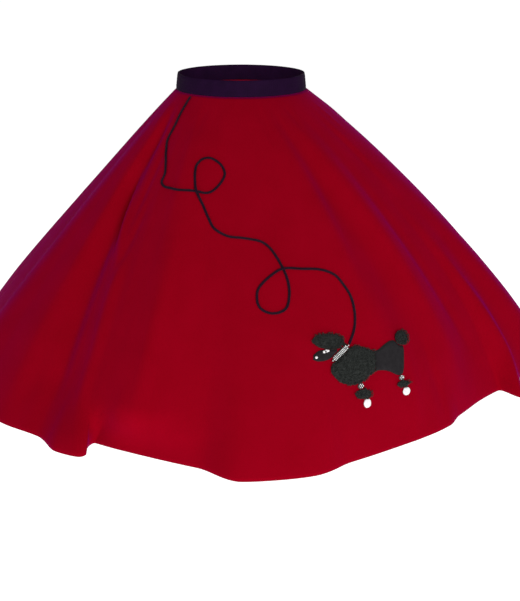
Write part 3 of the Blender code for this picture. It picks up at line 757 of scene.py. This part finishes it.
def curl_neck(material):
    """Curls between the head, the topknot and the mane."""
    places = []
    for x, y, x_end, y_end in NECK_ROWS:
        count = round(math.hypot(x_end - x, y_end - y) / NECK_GAP)
        places += [(lerp(x, x_end, i / count), lerp(y, y_end, i / count))
                   for i in range(count + 1)]
    loop_yarn("neck_curls", places, NECK_PILE, random.Random("neck"), material)


def sew_pad(node, bm, material, slot_name):
    """A pad on the front, given the thickness of its backing."""
    piece = make_piece(node + "_pad", bm, material, slot_name, (node,))
    thicken(piece, BACKING)


def sew_long_pad(node, sections, thickness, slot_name, material):
    """A pad between the lower and the upper edge that its sections give."""
    smooth = curve_through(sections, PAD_SMOOTHING)
    span = smooth[-1][0] - smooth[0][0]
    tallest = max(high - low for _at, low, high in smooth)

    def place(across, up):
        position = across * (len(smooth) - 1)
        i = min(int(position), len(smooth) - 2)
        at, low, high = (lerp(a, b, position - i) for a, b in zip(smooth[i], smooth[i + 1]))
        ends = eased(min(across, 1 - across) * span / ROUNDED_ENDS)
        sides = eased(min(up, 1 - up) * (high - low) / ROUNDED_SIDES)
        return pad_top(at, lerp(low, high, up), ends * sides, thickness * MM, node in CURLY)

    flat_area = sum((there[0] - here[0]) * (here[2] - here[1] + there[2] - there[1]) / 2
                    for here, there in zip(smooth, smooth[1:]))
    bm = laid_grid(round(span / PAD_GRID), round(tallest / PAD_GRID), place)
    sew_pad(node, bm, material, slot_name)

    def is_inside(x, y):
        i = bisect_right([section[0] for section in smooth], x) - 1
        if not 0 <= i < len(smooth) - 1:
            return False
        part = (x - smooth[i][0]) / (smooth[i + 1][0] - smooth[i][0])
        low, high = (lerp(a, b, part) for a, b in zip(smooth[i][1:], smooth[i + 1][1:]))
        return low - LOOP_OVERHANG < y < high + LOOP_OVERHANG

    if node in CURLY:
        bounds = (smooth[0][0], min(low for _at, low, _high in smooth),
                  smooth[-1][0], max(high for _at, _low, high in smooth))
        curl_pad(node, bounds, is_inside, thickness, material)


def sew_oval_pad(node, oval, thickness, slot_name, material):
    """An oval pad, domed from its rim to its middle."""
    turn = math.radians(oval.turn)

    def place(across, up):
        u, v = 2 * across - 1, 2 * up - 1
        disc_x = u * math.sqrt(1 - v * v / 2)
        disc_y = v * math.sqrt(1 - u * u / 2)
        rim = math.sqrt(max(0.0, 1 - (disc_x ** 2 + disc_y ** 2) ** 2))
        x, y = disc_x * oval.half_width, disc_y * oval.half_height
        return pad_top(oval.x + x * math.cos(turn) - y * math.sin(turn),
                       oval.y + x * math.sin(turn) + y * math.cos(turn),
                       rim, thickness * MM, node in CURLY)

    columns = max(FEWEST_CELLS, round(2 * oval.half_width / PAD_GRID))
    rows = max(FEWEST_CELLS, round(2 * oval.half_height / PAD_GRID))
    bm = laid_grid(columns, rows, place)
    sew_pad(node, bm, material, slot_name)

    def is_inside(x, y):
        along_it = (x - oval.x) * math.cos(turn) + (y - oval.y) * math.sin(turn)
        aside = (y - oval.y) * math.cos(turn) - (x - oval.x) * math.sin(turn)
        room_x, room_y = oval.half_width + LOOP_OVERHANG, oval.half_height + LOOP_OVERHANG
        return (along_it / room_x) ** 2 + (aside / room_y) ** 2 < 1.0

    if node in CURLY:
        reach = max(oval.half_width, oval.half_height) + LOOP_OVERHANG
        bounds = (oval.x - reach, oval.y - reach, oval.x + reach, oval.y + reach)
        curl_pad(node, bounds, is_inside, thickness, material)


# Small round pieces: flat x, y places in mm, how high their middles stand over the cloth, and
# their radius
EYE_PATCH = ((-55.6, 21.4, 2.2, 2.1), (-52.4, 22.8, 2.3, 2.4), (-49.6, 23.2, 2.1, 1.7))
NOSE = (-66.0, 12.8, 2.7, 1.95)
PUPIL = (-53.6, 21.5, 3.9, 1.2)
BEAD_RADIUS = 1.25
BEAD_SPACING = 2.75             # from one bead to the next, in mm
BEAD_SINK = 0.35                # how far a bead sinks into its pad, in mm
BEAD_OVERHANG = {"poodle_collar": 0.3}    # how far the outer beads' middles stand past the pad
BEAD_INSET = 0.8 * BEAD_RADIUS  # on the other pads they lie this far inside it
STAGGER = 60.0                  # the rows of beads lie so that each three make a triangle


def beads_on(oval, thickness, overhang):
    """Beads in staggered rows all over an oval pad."""
    turn = math.radians(oval.turn)
    room_x, room_y = oval.half_width + overhang, oval.half_height + overhang
    row_gap = BEAD_SPACING * math.sin(math.radians(STAGGER))
    rows = int(room_y / row_gap)
    columns = int(room_x / BEAD_SPACING) + 1
    beads = []
    for row in range(-rows, rows + 1):
        for column in range(-columns, columns + 1):
            along_it = (column + 0.5 * (row % 2)) * BEAD_SPACING
            aside = row * row_gap
            if (along_it / room_x) ** 2 + (aside / room_y) ** 2 > 1.0:
                continue
            beads.append((oval.x + along_it * math.cos(turn) - aside * math.sin(turn),
                          oval.y + along_it * math.sin(turn) + aside * math.cos(turn),
                          thickness + BEAD_RADIUS - BEAD_SINK, BEAD_RADIUS))
    return beads


def sew_beads(name, beads, material, slot_name):
    """Small balls on the poodle, all in one piece."""
    bm = bmesh.new()
    for x, y, height, radius in beads:
        middle = on_poodle(x, y, height * MM)
        bmesh.ops.create_icosphere(bm, subdivisions=2, radius=radius * MM,
                                   matrix=Matrix.Translation(middle))
    make_piece(name, bm, material, slot_name)


# The cloths. dark, light: the two ends of its colour. mottle, fibre: how many patches and
# fibres there are to a metre. nap: how high the fibres stand. sockets: other even values.
Finish = namedtuple("Finish", "dark light roughness mottle fibre nap sockets")
FINISHES = {
    "crimson_felt": Finish(
        (0.228, 0.0001, 0.0056), (0.266, 0.0002, 0.0080), 0.95, 21.0, 1900.0, 0.25 * MM,
        {"Specular IOR Level": 0.01, "Sheen Weight": 0.12, "Sheen Roughness": 0.40,
         "Sheen Tint": (0.40, 0.00, 0.85, 1.0)}),
    "navy_elastic": Finish(
        (0.0075, 0.0014, 0.0115), (0.0150, 0.0028, 0.0220), 0.70, 60.0, 2600.0, 0.10 * MM,
        {"Specular IOR Level": 0.03}),
    "navy_braid": Finish(
        (0.007, 0.0010, 0.006), (0.019, 0.0040, 0.016), 0.50, 90.0, 3200.0, 0.12 * MM,
        {"Specular IOR Level": 0.12}),
    "charcoal_pile": Finish(
        (0.007, 0.0085, 0.0075), (0.040, 0.044, 0.041), 0.80, 260.0, 2400.0, 0.30 * MM,
        {"Specular IOR Level": 0.10}),
    "charcoal_felt": Finish(
        (0.012, 0.0105, 0.012), (0.026, 0.024, 0.026), 0.92, 190.0, 2200.0, 0.15 * MM,
        {"Specular IOR Level": 0.05}),
    # painted glints: the beads' colour runs from mid-grey to near white in small patches, so that
    # some beads look lit and some look shaded
    "silver_beads_painted_glints": Finish(
        (0.36, 0.37, 0.36), (0.92, 0.93, 0.92), 0.20, 500.0, 1500.0, 0.05 * MM,
        {"Metallic": 0.7}),
    "trim_backing": Finish(
        (0.030, 0.033, 0.030), (0.110, 0.115, 0.110), 0.60, 500.0, 1500.0, 0.05 * MM,
        {"Specular IOR Level": 0.2}),
    "white_felt": Finish(
        (0.72, 0.70, 0.71), (0.92, 0.90, 0.90), 0.85, 200.0, 2200.0, 0.15 * MM,
        {"Specular IOR Level": 0.15}),
    "black_bead": Finish(
        (0.004, 0.004, 0.004), (0.010, 0.010, 0.010), 0.20, 500.0, 1500.0, 0.02 * MM,
        {"Specular IOR Level": 0.5}),
}
FIBRE_SHARE = 0.55              # how much of the change in colour is the fibres', not the mottle's
MOTTLE_DETAIL = 3.0
FIBRE_DETAIL = 4.0
DARK_BELOW = 0.30               # where on the noise's scale the two colours are plain
LIGHT_ABOVE = 0.70
WEAR = 0.06                     # how far the mottle moves the roughness, up and down
NAP_STRENGTH = 0.5
RIBS_A_METRE = 620.0
RIB_DEPTH = 0.20 * MM
RIB_STRENGTH = 0.6
RIB_WAVER = 0.4


def noise_output(material, scale, detail):
    """A noise over the piece, in metres."""
    nodes, links = material.node_tree.nodes, material.node_tree.links
    place = nodes.new("ShaderNodeTexCoord")
    node = nodes.new("ShaderNodeTexNoise")
    node.inputs["Scale"].default_value = scale
    node.inputs["Detail"].default_value = detail
    links.new(place.outputs["Object"], node.inputs["Vector"])
    return node.outputs["Fac"]


def cloth_material(name, finish):
    """Cloth with a broad mottle, fine fibres in its colour, and a nap that stands up."""
    material = bpy.data.materials.new(name)
    material.use_nodes = True
    nodes, links = material.node_tree.nodes, material.node_tree.links
    shader = nodes["Principled BSDF"]
    for socket, value in finish.sockets.items():
        shader.inputs[socket].default_value = value
    mottle = noise_output(material, finish.mottle, MOTTLE_DETAIL)
    fibres = noise_output(material, finish.fibre, FIBRE_DETAIL)
    mottle_part = nodes.new("ShaderNodeMath")
    mottle_part.operation = "MULTIPLY"
    mottle_part.inputs[1].default_value = 1 - FIBRE_SHARE
    links.new(mottle, mottle_part.inputs[0])
    blend = nodes.new("ShaderNodeMath")
    blend.operation = "MULTIPLY_ADD"
    blend.inputs[1].default_value = FIBRE_SHARE
    links.new(fibres, blend.inputs[0])
    links.new(mottle_part.outputs[0], blend.inputs[2])
    ramp = nodes.new("ShaderNodeValToRGB")
    ramp.color_ramp.elements[0].position = DARK_BELOW
    ramp.color_ramp.elements[0].color = (*finish.dark, 1.0)
    ramp.color_ramp.elements[1].position = LIGHT_ABOVE
    ramp.color_ramp.elements[1].color = (*finish.light, 1.0)
    links.new(blend.outputs[0], ramp.inputs["Fac"])
    links.new(ramp.outputs["Color"], shader.inputs["Base Color"])
    worn = nodes.new("ShaderNodeMapRange")
    worn.inputs["To Min"].default_value = finish.roughness - WEAR
    worn.inputs["To Max"].default_value = min(finish.roughness + WEAR, 1.0)
    links.new(mottle, worn.inputs["Value"])
    links.new(worn.outputs["Result"], shader.inputs["Roughness"])
    nap = nodes.new("ShaderNodeBump")
    nap.inputs["Strength"].default_value = NAP_STRENGTH
    nap.inputs["Distance"].default_value = finish.nap
    links.new(fibres, nap.inputs["Height"])
    links.new(nap.outputs["Normal"], shader.inputs["Normal"])
    return material


def add_ribs(material):
    """Fine ribs across an elastic, on top of its nap. They follow the flat cut."""
    nodes, links = material.node_tree.nodes, material.node_tree.links
    nap = next(node for node in nodes if node.bl_idname == "ShaderNodeBump")
    flat = nodes.new("ShaderNodeUVMap")
    flat.uv_map = "flat"
    ribs = nodes.new("ShaderNodeTexWave")
    ribs.inputs["Scale"].default_value = RIBS_A_METRE / (2 * math.pi)
    ribs.inputs["Distortion"].default_value = RIB_WAVER
    links.new(flat.outputs["UV"], ribs.inputs["Vector"])
    bump = nodes.new("ShaderNodeBump")
    bump.inputs["Strength"].default_value = RIB_STRENGTH
    bump.inputs["Distance"].default_value = RIB_DEPTH
    links.new(ribs.outputs["Fac"], bump.inputs["Height"])
    links.new(nap.outputs["Normal"], bump.inputs["Normal"])
    links.new(bump.outputs["Normal"], nodes["Principled BSDF"].inputs["Normal"])


def set_camera():
    """A camera in front of the skirt, a little above the waist, that looks down at it."""
    camera = bpy.data.objects.new("camera", bpy.data.cameras.new("camera"))
    camera.data.sensor_fit = "VERTICAL"
    camera.data.sensor_height = SENSOR
    camera.data.lens = FOCAL_PIXELS * SENSOR / PICTURE_HEIGHT
    camera.data.shift_x = OFF_CENTRE_PIXELS / PICTURE_HEIGHT
    camera.location = CAMERA_PLACE
    camera.rotation_euler = (math.radians(90 - CAMERA_DOWN), 0.0, 0.0)
    bpy.context.scene.collection.objects.link(camera)
    bpy.context.scene.camera = camera


def add_lamp(lamp):
    """A square lamp that faces its aim."""
    light = bpy.data.lights.new(lamp.name, "AREA")
    light.size = lamp.size
    light.energy = lamp.power
    holder = bpy.data.objects.new(lamp.name, light)
    holder.location = lamp.place
    facing = Vector(lamp.aim) - Vector(lamp.place)
    holder.rotation_euler = facing.to_track_quat("-Z", "Y").to_euler()
    bpy.context.scene.collection.objects.link(holder)


def set_sky():
    """An even pale light from all round."""
    world = bpy.data.worlds.new("studio")
    world.use_nodes = True
    background = world.node_tree.nodes["Background"]
    background.inputs["Color"].default_value = SKY_COLOUR
    background.inputs["Strength"].default_value = SKY_STRENGTH
    bpy.context.scene.world = world


def lay_floor():
    """A wide pale floor, far below the hem, that glows white."""
    bm = bmesh.new()
    bmesh.ops.create_grid(bm, x_segments=1, y_segments=1, size=FLOOR_HALF)
    bmesh.ops.translate(bm, verts=bm.verts, vec=(0.0, 0.0, FLOOR_LEVEL))
    mesh = bpy.data.meshes.new("floor")
    bm.to_mesh(mesh)
    bm.free()
    floor = bpy.data.objects.new("floor", mesh)
    bpy.context.scene.collection.objects.link(floor)
    pale = bpy.data.materials.new("pale_floor")
    pale.use_nodes = True
    shader = pale.node_tree.nodes["Principled BSDF"]
    shader.inputs["Base Color"].default_value = FLOOR_COLOUR
    shader.inputs["Roughness"].default_value = 1.0
    shader.inputs["Emission Color"].default_value = WHITE_LIGHT
    shader.inputs["Emission Strength"].default_value = FLOOR_GLOW
    mesh.materials.append(pale)


PAD_CLOTH = {"poodle": "charcoal_pile", "silver": "trim_backing", "paw": "white_felt"}


def sew_poodle(cloths):
    """The poodle's pads with their curls and beads, and its face."""
    for node, sections, thickness, slot_name in LONG_PADS:
        cloth = "charcoal_pile" if node in CURLY else "charcoal_felt"
        sew_long_pad(node, sections, thickness, slot_name, cloths[cloth])
    for node, oval, thickness, slot_name in OVAL_PADS:
        sew_oval_pad(node, oval, thickness, slot_name, cloths[PAD_CLOTH[slot_name]])
        if slot_name == "silver":
            beads = beads_on(oval, thickness, BEAD_OVERHANG.get(node, -BEAD_INSET))
            sew_beads(node + "_beads", beads, cloths["silver_beads_painted_glints"], "silver")
    curl_neck(cloths["charcoal_pile"])
    sew_beads("nose_and_eye", (NOSE,) + EYE_PATCH, cloths["white_felt"], "paw")
    sew_beads("pupil", (PUPIL,), cloths["black_bead"], "poodle")


def dress():
    """All the pieces of the skirt, over the solids that they stand for."""
    cloths = {name: cloth_material(name, finish) for name, finish in FINISHES.items()}
    add_ribs(cloths["navy_elastic"])
    sew_band(cloths["navy_elastic"])
    right_seam = [fold.name for fold in FOLDS].index("right side seam")
    sew_panel("front_panel", "skirt_front", 0, right_seam, cloths["crimson_felt"])
    sew_panel("back_panel", "skirt_back", right_seam, len(FOLDS), cloths["crimson_felt"])
    braid_leash(cloths["navy_braid"])
    sew_poodle(cloths)


set_camera()
set_sky()
for lamp in LAMPS:
    add_lamp(lamp)
lay_floor()
bpy.context.scene.view_settings.view_transform = "Standard"
dress()
